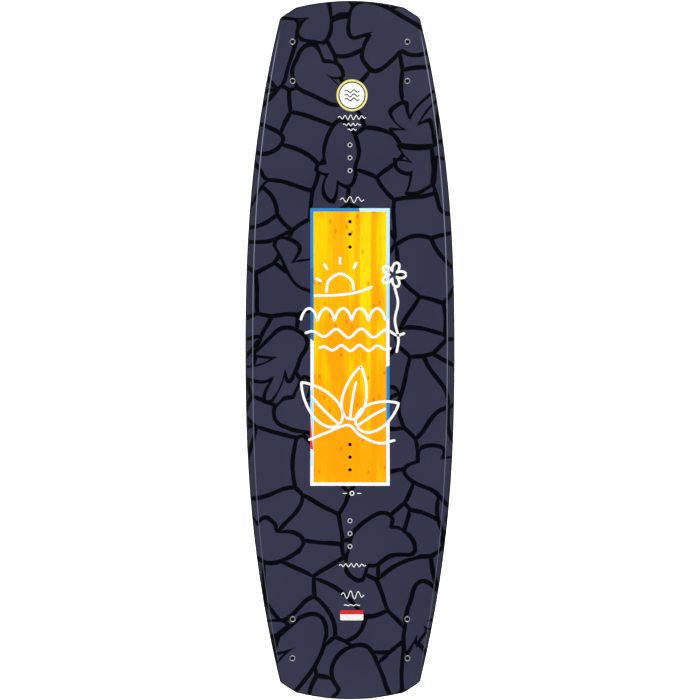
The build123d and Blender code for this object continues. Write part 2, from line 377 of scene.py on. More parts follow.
def cut_out_group():
    """One layer of cut-out shapes, one to a cell: a point's depth, and the shape's chance and shade.

    A shape is an oval with a few finger-like lobes on one side. Its radius at an angle a is
    size * (1 + 0.2 cos(2a + p) - notch * side(a) * (0.5 - 0.5 cos(n a + q))^sharpness). The depth is the
    distance in metres from that edge, or from a line set in from the cell's own edge by a gap, whichever is
    nearer. A shape is left out where its chance is over the share to keep.
    """
    tree = new_group("cut_out_layer", ["Pitch", "Size", "Notch", "Sharpness", "Keep", "Gap"],
                     {"Depth": "NodeSocketFloat", "Random": "NodeSocketVector", "Shade": "NodeSocketFloat"})
    given = put(tree, "NodeGroupInput").outputs
    scale = put(tree, MATH, 1.0, given["Pitch"], operation="DIVIDE")
    cell = put(tree, VORONOI, voronoi_dimensions="2D", named={"Vector": given["Place"], "Scale": scale})
    border = put(tree, VORONOI, voronoi_dimensions="2D", feature="DISTANCE_TO_EDGE",
                 named={"Vector": given["Place"], "Scale": scale})
    from_middle = put(tree, VECTOR_MATH, given["Place"], cell.outputs["Position"], operation="SUBTRACT")
    local = put(tree, SEPARATE, from_middle).outputs
    angle = put(tree, MATH, local[1], local[0], operation="ARCTAN2")
    reach = put(tree, VECTOR_MATH, from_middle, operation="LENGTH").outputs["Value"]
    random = cell.outputs["Color"]
    chance = put(tree, SEPARATE, random).outputs
    # Lobes: between three and six notches, cut mostly into one side
    between = put(tree, MATH, chance[0], 3.99, 3.0, operation="MULTIPLY_ADD")
    count = put(tree, MATH, between, operation="FLOOR")
    lobe_phase = put(tree, MATH, chance[1], TURN, operation="MULTIPLY")
    lobe_angle = put(tree, MATH, count, angle, lobe_phase, operation="MULTIPLY_ADD")
    swing = put(tree, MATH, lobe_angle, operation="COSINE")
    lobe = put(tree, MATH, swing, -0.5, 0.5, operation="MULTIPLY_ADD")
    kept_lobe = put(tree, MATH, lobe, 0.0, operation="MAXIMUM")
    notch = put(tree, MATH, kept_lobe, given["Sharpness"], operation="POWER")
    facing = put(tree, MATH, chance[2], TURN, angle, operation="MULTIPLY_ADD")
    towards = put(tree, MATH, facing, operation="COSINE")
    side = put(tree, MAP_RANGE, towards, -0.25, 0.7, 0.08, 1.0, interpolation_type="SMOOTHSTEP")
    one_sided = put(tree, MATH, notch, side, operation="MULTIPLY")
    cut = put(tree, MATH, one_sided, given["Notch"], operation="MULTIPLY")
    # The oval that they are cut into
    both_chances = put(tree, MATH, chance[0], chance[1], operation="ADD")
    oval_phase = put(tree, MATH, both_chances, TURN / 2, operation="MULTIPLY")
    oval_angle = put(tree, MATH, angle, 2.0, oval_phase, operation="MULTIPLY_ADD")
    oval_swing = put(tree, MATH, oval_angle, operation="COSINE")
    oval = put(tree, MATH, oval_swing, 0.2, 1.0, operation="MULTIPLY_ADD")
    share = put(tree, MATH, oval, cut, operation="SUBTRACT")
    radius = put(tree, MATH, share, given["Size"], operation="MULTIPLY")
    # How deep a point is in the shape and in its cell
    inside = put(tree, MATH, radius, reach, operation="SUBTRACT")
    from_border = put(tree, MATH, border, given["Pitch"], operation="MULTIPLY")
    inside_cell = put(tree, MATH, from_border, given["Gap"], operation="SUBTRACT")
    depth = put(tree, MATH, inside, inside_cell, 4 * MM, operation="SMOOTH_MIN")
    missing = put(tree, MATH, chance[1], given["Keep"], operation="GREATER_THAN")
    depth = put(tree, MATH, depth, missing, operation="SUBTRACT")
    lean = put(tree, VECTOR_MATH, random, (0.5, 0.5, 0.5), operation="SUBTRACT")
    along = put(tree, VECTOR_MATH, lean, from_middle, operation="DOT_PRODUCT").outputs["Value"]
    share_along = put(tree, MATH, along, given["Pitch"], operation="DIVIDE")
    shade = put(tree, MATH, share_along, 2.2, 0.5, operation="MULTIPLY_ADD", use_clamp=True)
    put(tree, "NodeGroupOutput", depth, random, shade)
    return tree


def flat_place(tree, place, bend, bend_pitch, shift):
    """A point of the board seen square on, moved a little by a slow noise so that straight lines bend."""
    x, _, z = put(tree, SEPARATE, place).outputs
    flat = put(tree, COMBINE, x, z)
    moved = put(tree, VECTOR_MATH, flat, shift, operation="ADD")
    noise = put(tree, NOISE, noise_dimensions="2D",
                named={"Vector": moved, "Scale": 1 / bend_pitch, "Detail": 0.0})
    centred = put(tree, VECTOR_MATH, noise.outputs["Color"], (0.5, 0.5, 0.5), operation="SUBTRACT")
    push = put(tree, VECTOR_MATH, centred, (bend, bend, 0.0), operation="MULTIPLY")
    return put(tree, VECTOR_MATH, moved, push, operation="ADD")


def layered_print(tree, place, layers, bend, gap=0.0):
    """Cut-out shapes in layers over bent cells: distance to the nearest outline, chance and shade.

    A layer is (pitch, size, notch, sharpness, share to keep, pitch of the bend). The first is the ground,
    whose shapes are so large that only their cells' edges show.
    """
    cut_out = bpy.data.node_groups["cut_out_layer"]
    outline = chance = shade = None
    for number, (pitch, size, notch, sharpness, keep, bend_pitch) in enumerate(layers):
        shift = (3.1 + 1.7 * number, 5.3 - 2.9 * number, 0.0)
        point = flat_place(tree, place, bend, bend_pitch, shift)
        given = {"Pitch": pitch, "Size": size, "Notch": notch, "Sharpness": sharpness, "Keep": keep,
                 "Place": point, "Gap": gap if number else 0.0}
        layer = put(tree, "ShaderNodeGroup", node_tree=cut_out, named=given)
        depth, random, lean = layer.outputs
        pick = put(tree, SEPARATE, random).outputs[2]
        if outline is None:
            outline, chance, shade = depth, pick, lean
            continue
        inside = put(tree, MATH, depth, 0.0, operation="GREATER_THAN")
        out_of_shape = put(tree, MATH, depth, -1.0, operation="MULTIPLY")
        outside = put(tree, MATH, outline, out_of_shape, 3 * MM, operation="SMOOTH_MIN")
        outline = put(tree, MIX, inside, outside, depth)
        chance = put(tree, MIX, inside, chance, pick)
        shade = put(tree, MIX, inside, shade, lean)
    return outline, chance, shade


def line_work_group(bend):
    """The deck's line work in a group of its own: the distance to the nearest outline at a place."""
    tree = new_group("deck_line_work", [], {"Outline": "NodeSocketFloat"})
    layers = [
        (94 * MM, 1.0, 0.0, 1.0, 1.0, 150 * MM),
        (142 * MM, 60 * MM, 0.62, 1.7, 0.72, 140 * MM),
    ]
    given = put(tree, "NodeGroupInput").outputs
    outline = layered_print(tree, given["Place"], layers, bend, gap=2 * MM)[0]
    put(tree, "NodeGroupOutput", outline)
    return tree


def even_distance(tree, place, group):
    """The distance to the nearest outline, divided by how fast it changes, so that every line is as wide.

    The rate is held between two limits: it is very small in a cell's middle, and very large where two
    cells meet.
    """
    step = 0.8 * MM
    distances = []
    for offset in ((0, 0, 0), (step, 0, 0), (0, 0, step)):
        moved = put(tree, VECTOR_MATH, place, offset, operation="ADD")
        distances.append(put(tree, "ShaderNodeGroup", node_tree=group, named={"Place": moved}))
    here = distances[0]
    squares = []
    for there in distances[1:]:
        change = put(tree, MATH, there, here, operation="SUBTRACT")
        rate = put(tree, MATH, change, 1 / step, operation="MULTIPLY")
        squares.append(put(tree, MATH, rate, 2.0, operation="POWER"))
    square_sum = put(tree, MATH, *squares, operation="ADD")
    speed = put(tree, MATH, square_sum, 0.5, operation="POWER")
    slowest, fastest = 0.45, 2.0
    steady = put(tree, "ShaderNodeClamp", speed, slowest, fastest)
    return put(tree, MATH, here, steady, operation="DIVIDE")


def crease(tree, place):
    """Distance from the line where the deck turns down into its bevel, by the outline's formula, and how far
    along the board a point is, as a share of the way from the middle to the corner.
    """
    x, _, z = put(tree, SEPARATE, place).outputs
    far = put(tree, MATH, z, operation="ABSOLUTE")
    share = put(tree, MATH, far, CORNER_Z, operation="DIVIDE")
    loss = put(tree, MATH, share, OUTLINE_POWER, operation="POWER")
    waist = put(tree, MATH, loss, -WAIST_LOSS, HALF_WIDTH - BEVEL, operation="MULTIPLY_ADD")
    square = put(tree, MATH, put(tree, MATH, share, 1.0, operation="MINIMUM"), 2.0, operation="POWER")
    line = put(tree, MATH, square, BEVEL_LOSS, waist, operation="MULTIPLY_ADD")
    out = put(tree, MATH, x, operation="ABSOLUTE")
    off = put(tree, MATH, out, line, operation="SUBTRACT")
    return put(tree, MATH, off, operation="ABSOLUTE"), share


def vary_roughness(tree, shader, noise, low, high):
    """Let a noise carry the roughness between two values."""
    rough = put(tree, MAP_RANGE, noise.outputs["Fac"], 0.3, 0.7, low, high)
    connect(tree, rough, shader.inputs["Roughness"])


def lift_surface(tree, shader, noise, strength):
    """Let a noise raise the surface, by a tenth of a millimetre at full strength."""
    lifts = {"Height": noise.outputs["Fac"], "Strength": strength, "Distance": 0.1 * MM}
    connect(tree, put(tree, BUMP, named=lifts), shader.inputs["Normal"])


def fine_grain(tree, shader, place, size, strength):
    """A fine even unevenness in the surface, from a noise as coarse as its grain."""
    noise = put(tree, NOISE, named={"Vector": place, "Scale": 1 / size, "Detail": 3.0})
    lift_surface(tree, shader, noise, strength)


def printed_deck_material(settings):
    """Nylon topsheet, sublimation printed and left satin: slate ground, black lines, soft highlights, and a
    painted highlight along the bevel's crease.
    """
    material, tree, shader, place = new_material("printed_nylon_topsheet")
    outline = even_distance(tree, place, line_work_group(settings.line_bend))
    uneven = put(tree, NOISE, named={"Vector": place, "Scale": 1 / (26 * MM), "Detail": 1.0})
    thin, thick = settings.line_width * 0.45, settings.line_width * 0.55
    half_width = put(tree, MAP_RANGE, uneven.outputs["Fac"], 0.3, 0.7, thin, thick)
    line = put(tree, MATH, outline, half_width, operation="LESS_THAN")
    tone = put(tree, NOISE, named={"Vector": place, "Scale": 1 / (240 * MM), "Detail": 2.0})
    dark, light = opaque(settings.deck_dark), opaque(settings.deck_light)
    ground = put(tree, MIX, tone.outputs["Fac"], dark, light, data_type="RGBA")
    inked = put(tree, MIX, line, ground, linear("#020208"), data_type="RGBA")
    # Painted highlight: a pale line along the crease at the bevel, where light would catch it, weaker towards
    # the tail, ending short of the tips, and only on faces turned to the deck's side
    distance, share = crease(tree, place)
    near = put(tree, MAP_RANGE, distance, 0.3 * MM, 1.1 * MM, 0.9, 0.0)
    short_of_tip = put(tree, MAP_RANGE, share, 0.9, 0.97, 1.0, 0.0)
    height = put(tree, SEPARATE, place).outputs[2]
    fade = put(tree, MAP_RANGE, height, -LENGTH / 3, LENGTH / 4, 0.25, 1.0)
    faded = put(tree, MATH, short_of_tip, fade, operation="MULTIPLY")
    edge = put(tree, MATH, near, faded, operation="MULTIPLY")
    normal = put(tree, "ShaderNodeNewGeometry").outputs["Normal"]
    upper = put(tree, MATH, put(tree, SEPARATE, normal).outputs[1], -0.3, operation="LESS_THAN")
    painted_crease_highlight = put(tree, MATH, edge, upper, operation="MULTIPLY")
    # The painted highlight's pale colour, mixed into the deck's colour
    colour = put(tree, MIX, painted_crease_highlight, inked, linear("#98A0B0"), data_type="RGBA")
    connect(tree, colour, shader.inputs["Base Color"])
    vary_roughness(tree, shader, tone, 0.36, 0.46)
    fine_grain(tree, shader, place, 0.9 * MM, 0.08)
    set_shader(shader, IOR=1.5, Specular_IOR_Level=0.08)
    return material


# Colours of the base print, as (share, one end of a shape's shade, the other end)
BASE_COLOURS = [
    (2.0, "#00163C", "#003060"),
    (0.8, "#02001A", "#0A0A38"),
    (2.1, "#FF0010", "#F00030"),
    (0.9, "#FF4400", "#FF1800"),
    (1.3, "#FFD800", "#FFA410"),
    (1.5, "#FF78BC", "#F0409C"),
    (0.6, "#E0108A", "#FF50A8"),
    (1.2, "#E0A8E4", "#A868B0"),
    (1.7, "#B0F0E8", "#5CC4B8"),
    (1.3, "#5CB4FF", "#0090F0"),
    (1.5, "#0050C4", "#0088EA"),
    (0.9, "#00008C", "#0030B0"),
    (1.4, "#0078A4", "#003C66"),
    (0.8, "#0B4A8A", "#3C9CC8"),
]


def print_colours(tree, chance, shade, table):
    """A shape's colour: its chance picks a pair from a table by share, and its shade mixes the pair."""
    total = sum(share for share, _, _ in table)
    starts = [sum(share for share, _, _ in table[:i]) / total for i in range(len(table))]
    ends = []
    for column in (1, 2):
        ramp = put(tree, RAMP, chance)
        stops = [(start, row[column]) for start, row in zip(starts, table)]
        ends.append(set_stops(ramp, stops, "CONSTANT"))
    return put(tree, MIX, shade, ends[0], ends[1], data_type="RGBA")


def printed_base_material(settings):
    """Sintered polyethylene base, printed and polished: clear flat colours under an even gloss.

    Where the surface turns sideways, as on the sides of the fins' ridges, the print is darkened towards
    black: painted shade.
    """
    material, tree, shader, place = new_material("printed_sintered_base")
    layers = [
        (120 * MM, 1.0, 0.0, 1.0, 1.0, 170 * MM),
        (165 * MM, 88 * MM, 0.6, 1.6, 0.85, 150 * MM),
        (185 * MM, 84 * MM, 0.66, 2.0, 0.75, 130 * MM),
        (200 * MM, 74 * MM, 0.7, 2.0, 0.6, 160 * MM),
    ]
    _, chance, shade = layered_print(tree, place, layers, settings.shape_bend)
    picked = put(tree, "ShaderNodeTexWhiteNoise", noise_dimensions="1D", named={"W": chance})
    colour = print_colours(tree, picked.outputs["Value"], shade, BASE_COLOURS)
    # Painted shade: the colour is darkened towards black where the surface faces sideways, as on the flanks
    # of the fins' ridges
    normal = put(tree, "ShaderNodeNewGeometry").outputs["Normal"]
    painted_shade_tilt = put(tree, MATH, put(tree, SEPARATE, normal).outputs[0], operation="ABSOLUTE")
    lean = put(tree, MAP_RANGE, painted_shade_tilt, 0.12, 0.36, 0.0, 0.55)
    colour = put(tree, MIX, lean, colour, linear("#000004"), data_type="RGBA")
    connect(tree, colour, shader.inputs["Base Color"])
    scuff = put(tree, NOISE, named={"Vector": place, "Scale": 1 / (60 * MM), "Detail": 3.0})
    vary_roughness(tree, shader, scuff, 0.28, 0.4)
    fine_grain(tree, shader, place, 2.5 * MM, 0.05)
    set_shader(shader, IOR=1.5, Specular_IOR_Level=0.2)
    return material


# Colours of the printed frame round the wood panel, as (share, one end, the other end)
FRAME_COLOURS = [
    (0.9, "#E8203A", "#FF4030"),
    (3.2, "#FFFFFF", "#F6ECFF"),
    (1.5, "#1B6FA8", "#3FA0E0"),
    (0.7, "#FFB4DC", "#FFD8F0"),
    (1.5, "#A8DCFA", "#D0F0FF"),
]


# The wood panel: its printed frame's width, its strips' width, and how far apart the nodes of a stem are
FRAME_WIDTH = 6.7 * MM
STRIP_WIDTH = 11 * MM
NODE_PITCH = 190 * MM


def off_middle(tree, value):
    """How far the fraction of a value is from a half."""
    fraction = put(tree, MATH, value, operation="FRACT")
    centred = put(tree, MATH, fraction, 0.5, operation="SUBTRACT")
    return put(tree, MATH, centred, operation="ABSOLUTE")


def node_bars(tree, strips, chance, z):
    """A dark bar across each strip at each node of its stem, strongest in the strip's middle."""
    pitches = put(tree, MATH, z, 1 / NODE_PITCH, operation="MULTIPLY")
    lifted = put(tree, MATH, chance, 7.3, pitches, operation="MULTIPLY_ADD")
    from_node = put(tree, MATH, off_middle(tree, lifted), NODE_PITCH, operation="MULTIPLY")
    near = put(tree, MAP_RANGE, from_node, 1 * MM, 7 * MM, 1.0, 0.0, interpolation_type="SMOOTHSTEP")
    from_middle = put(tree, MATH, off_middle(tree, strips), 2.6, operation="MULTIPLY")
    middle = put(tree, MATH, 1.0, from_middle, operation="SUBTRACT", use_clamp=True)
    bar = put(tree, MATH, near, middle, operation="MULTIPLY")
    return put(tree, MATH, bar, 0.75, operation="MULTIPLY")


def window_frame(tree, x, z):
    """Where the printed frame is: nearer to the panel's side or end than the frame's width."""
    out = put(tree, MATH, x, operation="ABSOLUTE")
    to_side = put(tree, MATH, WINDOW_HIGH.x, out, operation="SUBTRACT")
    centred = put(tree, MATH, z, (WINDOW_HIGH.z + WINDOW_LOW.z) / 2, operation="SUBTRACT")
    far = put(tree, MATH, centred, operation="ABSOLUTE")
    to_end = put(tree, MATH, (WINDOW_HIGH.z - WINDOW_LOW.z) / 2, far, operation="SUBTRACT")
    to_edge = put(tree, MATH, to_side, to_end, operation="MINIMUM")
    return put(tree, MATH, to_edge, FRAME_WIDTH, operation="LESS_THAN")


def bamboo_material():
    """Laminated bamboo under clear lacquer: narrow upright strips, long fibres, a darker bar at each node."""
    material, tree, shader, place = new_material("lacquered_bamboo")
    x, _, z = put(tree, SEPARATE, place).outputs
    wander = put(tree, NOISE, named={"Vector": place, "Scale": 4.0, "Detail": 0.0})
    wandered = put(tree, MATH, wander.outputs["Fac"], 3 * MM, x, operation="MULTIPLY_ADD")
    strips = put(tree, MATH, wandered, 1 / STRIP_WIDTH, operation="MULTIPLY")
    strip = put(tree, MATH, strips, operation="FLOOR")
    picked = put(tree, "ShaderNodeTexWhiteNoise", noise_dimensions="1D", named={"W": strip})
    chance = picked.outputs["Value"]
    tint = set_stops(put(tree, RAMP, chance), [
        (0.0, "#FFAE00"), (0.3, "#FFC200"), (0.65, "#FFD000"), (1.0, "#FFDC10")])
    # Cloudy streaks, warmer where the lacquer has aged towards the tail
    cloud = put(tree, "ShaderNodeMapping", place, named={"Scale": (1.0, 1.0, 0.22)})
    streak = put(tree, NOISE, named={"Vector": cloud, "Scale": 1 / (26 * MM), "Detail": 2.0})
    aged_below, fresh_above = -180 * MM, 200 * MM
    aged = put(tree, MAP_RANGE, z, aged_below, fresh_above, 0.24, 0.0)
    toned = put(tree, MATH, streak.outputs["Fac"], aged, operation="ADD")
    warm = put(tree, MAP_RANGE, toned, 0.45, 0.72, 0.0, 0.85)
    warmed = put(tree, MIX, warm, tint, linear("#FF9A00"), data_type="RGBA")
    # Long fibres
    stretched = put(tree, "ShaderNodeMapping", place, named={"Scale": (1.0, 1.0, 0.02)})
    fibre = put(tree, NOISE, named={"Vector": stretched, "Scale": 1 / (1.6 * MM), "Detail": 3.0})
    dark = put(tree, MAP_RANGE, fibre.outputs["Fac"], 0.5, 0.78, 0.0, 0.5)
    grained = put(tree, MIX, dark, warmed, linear("#E89800"), data_type="RGBA")
    bars = node_bars(tree, strips, chance, z)
    barred = put(tree, MIX, bars, grained, linear("#B87400"), data_type="RGBA")
    # The frame printed round the panel
    point = flat_place(tree, place, 60 * MM, 150 * MM, (8.3, 2.2, 0.0))
    patch = put(tree, VORONOI, voronoi_dimensions="2D", named={"Vector": point, "Scale": 1 / (120 * MM)})
    patch_chance = put(tree, SEPARATE, patch.outputs["Color"]).outputs
    frame_colour = print_colours(tree, patch_chance[0], patch_chance[1], FRAME_COLOURS)
    colour = put(tree, MIX, window_frame(tree, x, z), barred, frame_colour, data_type="RGBA")
    connect(tree, colour, shader.inputs["Base Color"])
    vary_roughness(tree, shader, fibre, 0.3, 0.42)
    lift_surface(tree, shader, fibre, 0.08)
    set_shader(shader, IOR=1.5, Specular_IOR_Level=0.16)
    return material


# Materials: inks, plastics, metals and the inside of the board


def plain_material(name, dark, light, roughness, grain, bump, metallic=0.0, ior=None, stretch=(1, 1, 1)):
    """A finish of one colour that drifts between two tones, with its own grain in roughness and bump."""
    material, tree, shader, place = new_material(name)
    mapped = put(tree, "ShaderNodeMapping", place, named={"Scale": stretch})
    noise = put(tree, NOISE, named={"Vector": mapped, "Scale": 1 / grain, "Detail": 4.0})
    tone = put(tree, MAP_RANGE, noise.outputs["Fac"], 0.3, 0.7, 0.0, 1.0)
    colour = put(tree, MIX, tone, linear(dark), linear(light), data_type="RGBA")
    connect(tree, colour, shader.inputs["Base Color"])
    vary_roughness(tree, shader, noise, roughness * 0.85, roughness * 1.15)
    lift_surface(tree, shader, noise, bump)
    set_shader(shader, Metallic=metallic)
    if ior:
        set_shader(shader, IOR=ior)
    return material


def ink_material(name, dark, light, roughness=0.45):
    """Screen-printed ink: matt, with a faint mottle where the mesh let a little more or less through."""
    return plain_material(name, dark, light, roughness, 1.2 * MM, 0.05, ior=1.48)


def vinyl_material(name, dark, light, roughness=0.35):
    """Vinyl sticker: even in colour and satin, with a shallow broad unevenness from the skin under it."""
    return plain_material(name, dark, light, roughness, 2 * MM, 0.05, ior=1.5)


# Finish of each plain node, as (dark tone, light tone, roughness, grain, bump, metallic, ior, stretch)
PLAIN_FINISHES = {
    # Moulded ABS side wall: near black, satin, with a fine spark-eroded grain
    "moulded_abs_rail": ("#050507", "#0C0C11", 0.38, 0.8 * MM, 0.12, 0.0, 1.53, (1, 1, 1)),
    # Clear glass laminate over wood: greenish amber, with the weave only just showing
    "glass_laminate": ("#8C8A66", "#A8A67E", 0.3, 1.5 * MM, 0.2, 0.0, 1.52, (1, 1, 1)),
    # Paulownia core strips: pale, straight long grain
    "paulownia_core": ("#B8935E", "#D9BC86", 0.6, 3.0 * MM, 0.3, 0.0, 1.5, (1, 1, 0.04)),
    # Birch strips that hold the inserts: harder and darker than the core
    "birch_strip": ("#A67C4A", "#C29A66", 0.55, 2.0 * MM, 0.3, 0.0, 1.5, (1, 1, 0.04)),
    # Black zinc-plated steel screws: dark grey heads that only glint at their rims
    "black_zinc_screw": ("#1C1D20", "#303136", 0.3, 0.7 * MM, 0.12, 1.0, None, (1, 1, 1)),
    # Pressed stainless washers: far brighter than the screws, and more matt
    "pressed_steel_washer": ("#D4D6DA", "#F2F4F6", 0.5, 1.5 * MM, 0.06, 1.0, None, (1, 1, 1)),
    # Knurled brass inserts: warm yellow, dull from machining
    "machined_brass": ("#9C7A34", "#C4A050", 0.34, 0.6 * MM, 0.3, 1.0, None, (1, 1, 1)),
}

PLAIN_NODES = {
    "perimeter_rail": "moulded_abs_rail",
    "top_laminate": "glass_laminate",
    "base_laminate": "glass_laminate",
    "wood_core": "paulownia_core",
    "insert_strip": "birch_strip",
    "inserts": "turned_stainless_insert",
    "fin_screws": "black_zinc_screw",
    "fin_washers": "pressed_steel_washer",
    "fin_inserts": "machined_brass",
}


def insert_material():
    """Turned stainless steel: a bright ring level with the deck, and a threaded bore under it coloured near
    black as painted shade.
    """
    material, tree, shader, place = new_material("turned_stainless_insert")
    _, y, z = put(tree, SEPARATE, place).outputs
    slope = DECK_RISE / STRAIGHT_RUN
    foot = MID_DECK_Y + slope * (BEND_START + BEND_END) / 2
    far = put(tree, MATH, z, operation="ABSOLUTE")
    wing = put(tree, MATH, far, -slope, foot, operation="MULTIPLY_ADD")
    sunk = put(tree, MATH, y, wing, operation="SUBTRACT")
    # Painted shade: faces sunk more than 0.35 mm under the deck, down in the bore, are coloured near black
    # and made rougher
    under = put(tree, MATH, sunk, 0.35 * MM, operation="GREATER_THAN")
    noise = put(tree, NOISE, named={"Vector": place, "Scale": 1 / (0.5 * MM), "Detail": 3.0})
    steel = put(tree, MIX, noise.outputs["Fac"], linear("#DCDCDC"), linear("#F8F8F8"), data_type="RGBA")
    colour = put(tree, MIX, under, steel, linear("#060608"), data_type="RGBA")
    connect(tree, colour, shader.inputs["Base Color"])
    rough = put(tree, MAP_RANGE, under, 0.0, 1.0, 0.58, 0.7)
    connect(tree, rough, shader.inputs["Roughness"])
    lift_surface(tree, shader, noise, 0.1)
    set_shader(shader, Metallic=1.0)
    return material


def finish_node(name, material):
    """Give every material slot of a CAD node one material."""
    for material_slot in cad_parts[name].material_slots:
        material_slot.material = material


# Sizes and colours that a user would change


SIZE = {"min": 0.0, "unit": "LENGTH"}
COLOUR = {"min": 0.0, "max": 1.0, "subtype": "COLOR"}


class PrintSettings(bpy.types.PropertyGroup):
    """Sizes and colours of the printed deck and base."""

    line_width: FloatProperty(
        name="Line width", description="Width of the deck's black lines", default=8.8 * MM, **SIZE)
    line_bend: FloatProperty(
        name="Line bend", description="How far the deck's lines wander", default=90 * MM, **SIZE)
    shape_bend: FloatProperty(
        name="Shape bend", description="How far the base's shapes are bent", default=90 * MM, **SIZE)
    deck_dark: FloatVectorProperty(
        name="Deck dark", description="Darker tone of the deck's ground",
        default=linear("#2C2D41")[:3], **COLOUR)
    deck_light: FloatVectorProperty(
        name="Deck light", description="Lighter tone of the deck's ground",
        default=linear("#37384D")[:3], **COLOUR)


class MarkSettings(bpy.types.PropertyGroup):
    """Sizes of the printed marks."""

    pen_width: FloatProperty(
        name="Pen width", description="Width of the drawing's strokes on the deck", default=5.2 * MM, **SIZE)
    deck_badge_radius: FloatProperty(
        name="Deck badge radius", description="Outer radius of the deck's badge", default=31 * MM, **SIZE)
    base_badge_radius: FloatProperty(
        name="Base badge radius", description="Outer radius of the base's badge", default=71 * MM, **SIZE)
    petals: IntProperty(
        name="Petals", description="Petals of the flower on the deck", default=5, min=2, max=12)


class FinSettings(bpy.types.PropertyGroup):
    """Sizes of a moulded fin."""

    height: FloatProperty(
        name="Height", description="Height of a fin above the base", default=24 * MM, **SIZE)
    thickness: FloatProperty(
        name="Thickness", description="Thickness of a fin at its root", default=8.8 * MM, **SIZE)
    crest: FloatProperty(
        name="Crest", description="Length of a fin's level crest", default=92 * MM, **SIZE)
    taper: FloatProperty(
        name="Taper", description="Length over which a fin thins out at each end",
        default=5 * MM, min=0.001, unit="LENGTH")
    draft: FloatProperty(
        name="Draft", description="Share of its thickness that a fin loses by its crest",
        default=0.16, min=0.0, max=0.9, subtype="FACTOR")


class StudioSettings(bpy.types.PropertyGroup):
    """The studio's light and camera."""

    backdrop: FloatVectorProperty(
        name="Backdrop", description="Colour of the floor and the wall",
        default=linear("#F4F4F5")[:3], **COLOUR)
    distance: FloatProperty(
        name="Distance", description="From the camera to the middle of the board's box",
        default=2.312, min=0.1, unit="LENGTH")
    lens: FloatProperty(
        name="Lens", description="Focal length in millimetres", default=59.2, min=1.0)
    key_power: FloatProperty(
        name="Key power", description="Power of each large soft light",
        default=124.0, min=0.0, subtype="POWER")
    side_power: FloatProperty(
        name="Side power", description="Power of the light at each side",
        default=9.0, min=0.0, subtype="POWER")


# Operators


class OBJECT_OT_finish_board(bpy.types.Operator):
    """Finish the board's skins, rail, core, inserts and screws"""

    bl_idname = "wakeboard.finish_board"
    bl_label = "Finish the board"

    def execute(self, context):
        settings = context.scene.wakeboard_print
        cut_out_group()
        finish_node("topsheet", printed_deck_material(settings))
        finish_node("base_sheet", printed_base_material(settings))
        finish_node("bamboo_panel", bamboo_material())
        made = {name: plain_material(name, *values) for name, values in PLAIN_FINISHES.items()}
        made["turned_stainless_insert"] = insert_material()
        longest_first = sorted(PLAIN_NODES, key=len, reverse=True)
        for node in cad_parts:
            ending = next((key for key in longest_first if node.endswith(key)), None)
            if ending:
                finish_node(node, made[PLAIN_NODES[ending]])
        return {"FINISHED"}


def fin_skin(low, high, settings):
    """A fin between the ends of its CAD box: rings along its length, each a rounded upright section.

    Its height at a point is a smooth minimum of the full height and of a straight ramp from the nearer tip,
    (a^-6 + b^-6)^(-1/6), and its thickness is one too, with powers of 3 in place of 6. A section is a
    superellipse that narrows towards the crest.
    """
    end = 1 if low.z > 0 else -1
    slope = BASE_RISE / STRAIGHT_RUN
    norm = math.hypot(1, slope)
    middle_x, middle_z = (low.x + high.x) / 2, abs(low.z + high.z) / 2
    long = (high.z - low.z) / 2 * norm
    along = long * np.sin(np.linspace(-0.5, 0.5, 97)[1:-1] * math.pi)[:, None]
    to_tip = long - np.abs(along)
    share_high = (np.clip(to_tip / (long - settings.crest / 2), 1e-3, None) ** -6 + 1) ** (-1 / 6)
    share_thick = (np.clip(to_tip / settings.taper, 1e-3, None) ** -3 + 1) ** (-1 / 3)
    angle = np.linspace(0, TURN, 40, endpoint=False)[None, :]
    squareness, sunk = 0.45, 0.4 * MM
    round_x = np.sign(np.cos(angle)) * np.abs(np.cos(angle)) ** squareness
    round_y = np.sign(np.sin(angle)) * np.abs(np.sin(angle)) ** squareness
    up = (1 + round_y) / 2
    height = settings.height * share_high * up - sunk
    across = settings.thickness / 2 * share_thick * round_x * (1 - settings.draft * up * share_high)
    across, height, along = np.broadcast_arrays(across, height, along)
    z = middle_z + (along + slope * height) / norm
    y = MID_BASE_Y - BASE_RISE * rise(middle_z) + (height - slope * along) / norm
    return skin(np.stack([middle_x + across, y, end * z], -1))


class OBJECT_OT_make_fins(bpy.types.Operator):
    """Mould the four fins in place of their CAD solids"""

    bl_idname = "wakeboard.make_fins"
    bl_label = "Make the fins"

    def execute(self, context):
        # Glass-filled nylon: black, satin, with a fine moulded grain
        nylon = plain_material("moulded_nylon", "#040405", "#0D0D10", 0.34, 1.0 * MM, 0.15, ior=1.53)
        settings = context.scene.wakeboard_fins
        for end in ("nose", "tail"):
            for side in ("left", "right"):
                node = f"{end}_{side}_fin"
                fin = fin_skin(*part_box(node), settings)
                piece = make_piece(node + "_moulding", [fin], nylon, smooth=True)
                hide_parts(node)
        return {"FINISHED"}


# Pen strokes of the drawing on the deck, in millimetres from the board's centre: a sun on the horizon, its
# rays, and the stem of a flower
SUN_STROKES = [
    [(-48, 116), (-43, 140), (-20, 154), (3, 141), (8, 120)],
    [(-74, 110), (-30, 111), (12, 116), (46, 128)],
    [(-70, 146), (-57, 138)],
    [(-53, 175), (-45, 162)],
    [(-20, 188), (-20, 172)],
    [(14, 178), (7, 164)],
]
STEM = [(90, 128), (97, 96), (91, 60), (98, 22), (94, -6)]

# Leaves of the sprig under it, each as (foot, tip, fullness), and the stalk that they grow from
LEAVES = [
    ((-22, -150), (-98, -66), 0.3),
    ((0, -140), (22, -34), 0.27),
    ((14, -154), (98, -108), 0.34),
]
STALK = [(-84, -182), (-50, -168), (-4, -152), (20, -172), (58, -188), (92, -182)]


